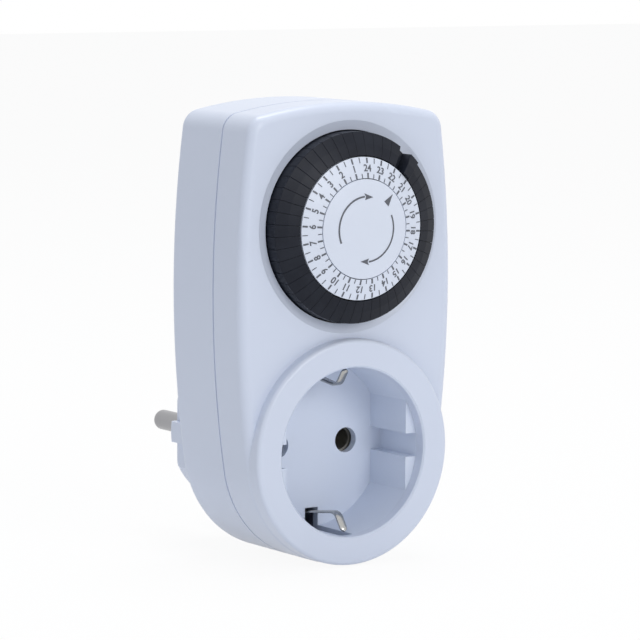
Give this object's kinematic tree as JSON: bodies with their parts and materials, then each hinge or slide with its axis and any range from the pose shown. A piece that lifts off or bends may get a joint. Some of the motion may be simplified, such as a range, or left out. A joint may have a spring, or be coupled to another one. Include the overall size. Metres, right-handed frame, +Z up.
{
  "type": "plug in timer switch",
  "caption": "Plug-in 24-hour timer switch: a wall-plug case with an earthed socket, and a motor-driven dial whose press-in tabs work the switch.",
  "frame": {"origin": "the middle of the plug's engagement face, midway between the two pins", "axes": "+X right seen from the front, +Y back into the wall along the pins, +Z up"},
  "size_m": [0.0582, 0.0745, 0.1063],
  "materials": {
    "case_white": "bluish white moulded plastic, satin gloss, fine spark texture",
    "socket_white": "bluish white moulded plastic, satin",
    "dial_white": "white plastic with dark grey printed ticks and numbers",
    "tab_black": "near-black moulded plastic with a fine grip texture",
    "carrier_grey": "dark grey moulded plastic",
    "nylon": "natural acetal, slightly waxy",
    "inner_plastic": "grey inner moulding, plain matt",
    "plated_pin": "nickel-plated brass, drawn and tumbled, faint rub marks",
    "spring_steel": "bright plated spring strip with rolled edges",
    "contact_brass": "stamped brass strip",
    "bright_steel": "zinc-plated turned steel",
    "zinc_steel": "drawn zinc-plated steel can"
  },
  "bodies": {
    "case": {"front_shell": "case_white", "rear_shell": "case_white", "socket_cup": "socket_white", "plug_pin_left": "plated_pin", "plug_pin_right": "plated_pin", "plug_earth_contact_top": "spring_steel", "plug_earth_contact_bottom": "spring_steel", "earth_strap": "contact_brass", "socket_contact_left": "contact_brass", "socket_contact_right": "contact_brass", "neutral_link": "contact_brass", "live_link_in": "contact_brass", "live_link_out": "contact_brass", "chassis_plate": "inner_plastic", "dial_spindle": "bright_steel", "centre_cap": "dial_white", "idler_axle": "bright_steel", "motor_can": "zinc_steel", "motor_lid": "zinc_steel", "motor_screws": "bright_steel", "lever_pin": "bright_steel", "switch_base": "inner_plastic", "fixed_contact": "contact_brass", "housing_screws": "bright_steel"},
    "dial": {"dial_face": "dial_white", "dial_carrier": "carrier_grey", "dial_gear": "nylon"},
    "idler": {"idler_gear": "nylon"},
    "motor_shaft": {"motor_pinion": "nylon"},
    "lever": {"switch_lever": "nylon"},
    "moving_blade": {"moving_contact": "contact_brass"},
    "clip_top": {"earth_clip_top": "spring_steel"},
    "clip_bottom": {"earth_clip_bottom": "spring_steel"},
    "tabs_hour_00_to_02": {"tabs_hour_00_to_02": "tab_black"},
    "tabs_hour_02_to_04": {"tabs_hour_02_to_04": "tab_black"},
    "tabs_hour_04_to_06": {"tabs_hour_04_to_06": "tab_black"},
    "tabs_hour_06_to_08": {"tabs_hour_06_to_08": "tab_black"},
    "tabs_hour_08_to_10": {"tabs_hour_08_to_10": "tab_black"},
    "tabs_hour_10_to_12": {"tabs_hour_10_to_12": "tab_black"},
    "tabs_hour_12_to_14": {"tabs_hour_12_to_14": "tab_black"},
    "tabs_hour_14_to_16": {"tabs_hour_14_to_16": "tab_black"},
    "tabs_hour_16_to_18": {"tabs_hour_16_to_18": "tab_black"},
    "tabs_hour_18_to_20": {"tabs_hour_18_to_20": "tab_black"},
    "tabs_hour_20_to_22": {"tabs_hour_20_to_22": "tab_black"},
    "tabs_hour_22_to_24": {"tabs_hour_22_to_24": "tab_black"},
    "tab_pressed": {"tab_pressed": "tab_black"}
  },
  "joints": [
    {"name": "dial_turn", "type": "hinge", "parent": "case", "child": "dial", "pos_m": [0, -0.0437, 0.0516], "axis": [0, 1, 0], "continuous": true},
    {"name": "idler_turn", "type": "hinge", "parent": "case", "child": "idler", "pos_m": [0.00043, -0.0367, 0.03411], "axis": [0, 1, 0], "continuous": true},
    {"name": "motor_turn", "type": "hinge", "parent": "case", "child": "motor_shaft", "pos_m": [-0.008, -0.0367, 0.044], "axis": [0, 1, 0], "continuous": true},
    {"name": "lever_swing", "type": "hinge", "parent": "case", "child": "lever", "pos_m": [0.01867, -0.03425, 0.06853], "axis": [0.6717, 0, -0.7408], "range_deg": [-14, 0], "stiffness_Nm_per_rad": 0.002},
    {"name": "blade_flex", "type": "hinge", "parent": "case", "child": "moving_blade", "pos_m": [0.01982, -0.02445, 0.06957], "axis": [0.6717, 0, -0.7408], "range_deg": [0, 9.07]},
    {"name": "clip_top_flex", "type": "hinge", "parent": "case", "child": "clip_top", "pos_m": [0, -0.0257, 0.0175], "axis": [-1, 0, 0], "range_deg": [0, 4], "stiffness_Nm_per_rad": 0.05},
    {"name": "clip_bottom_flex", "type": "hinge", "parent": "case", "child": "clip_bottom", "pos_m": [0, -0.0257, -0.0175], "axis": [1, 0, 0], "range_deg": [0, 4], "stiffness_Nm_per_rad": 0.05},
    {"name": "tabs_00_to_02_press", "type": "slide", "parent": "dial", "child": "tabs_hour_00_to_02", "axis": [0, 1, 0], "range_m": [0, 0.0024]},
    {"name": "tabs_02_to_04_press", "type": "slide", "parent": "dial", "child": "tabs_hour_02_to_04", "axis": [0, 1, 0], "range_m": [0, 0.0024]},
    {"name": "tabs_04_to_06_press", "type": "slide", "parent": "dial", "child": "tabs_hour_04_to_06", "axis": [0, 1, 0], "range_m": [0, 0.0024]},
    {"name": "tabs_06_to_08_press", "type": "slide", "parent": "dial", "child": "tabs_hour_06_to_08", "axis": [0, 1, 0], "range_m": [0, 0.0024]},
    {"name": "tabs_08_to_10_press", "type": "slide", "parent": "dial", "child": "tabs_hour_08_to_10", "axis": [0, 1, 0], "range_m": [0, 0.0024]},
    {"name": "tabs_10_to_12_press", "type": "slide", "parent": "dial", "child": "tabs_hour_10_to_12", "axis": [0, 1, 0], "range_m": [0, 0.0024]},
    {"name": "tabs_12_to_14_press", "type": "slide", "parent": "dial", "child": "tabs_hour_12_to_14", "axis": [0, 1, 0], "range_m": [0, 0.0024]},
    {"name": "tabs_14_to_16_press", "type": "slide", "parent": "dial", "child": "tabs_hour_14_to_16", "axis": [0, 1, 0], "range_m": [0, 0.0024]},
    {"name": "tabs_16_to_18_press", "type": "slide", "parent": "dial", "child": "tabs_hour_16_to_18", "axis": [0, 1, 0], "range_m": [0, 0.0024]},
    {"name": "tabs_18_to_20_press", "type": "slide", "parent": "dial", "child": "tabs_hour_18_to_20", "axis": [0, 1, 0], "range_m": [0, 0.0024]},
    {"name": "tabs_20_to_22_press", "type": "slide", "parent": "dial", "child": "tabs_hour_20_to_22", "axis": [0, 1, 0], "range_m": [0, 0.0024]},
    {"name": "tabs_22_to_24_press", "type": "slide", "parent": "dial", "child": "tabs_hour_22_to_24", "axis": [0, 1, 0], "range_m": [0, 0.0024]},
    {"name": "pressed_tab_press", "type": "slide", "parent": "dial", "child": "tab_pressed", "axis": [0, 1, 0], "range_m": [-0.0024, 0]}
  ],
  "couplings": [
    {"joint": "idler_turn", "follows": "dial_turn", "ratio": -6},
    {"joint": "motor_turn", "follows": "dial_turn", "ratio": 33},
    {"joint": "blade_flex", "follows": "lever_swing", "ratio": -0.63333}
  ]
}
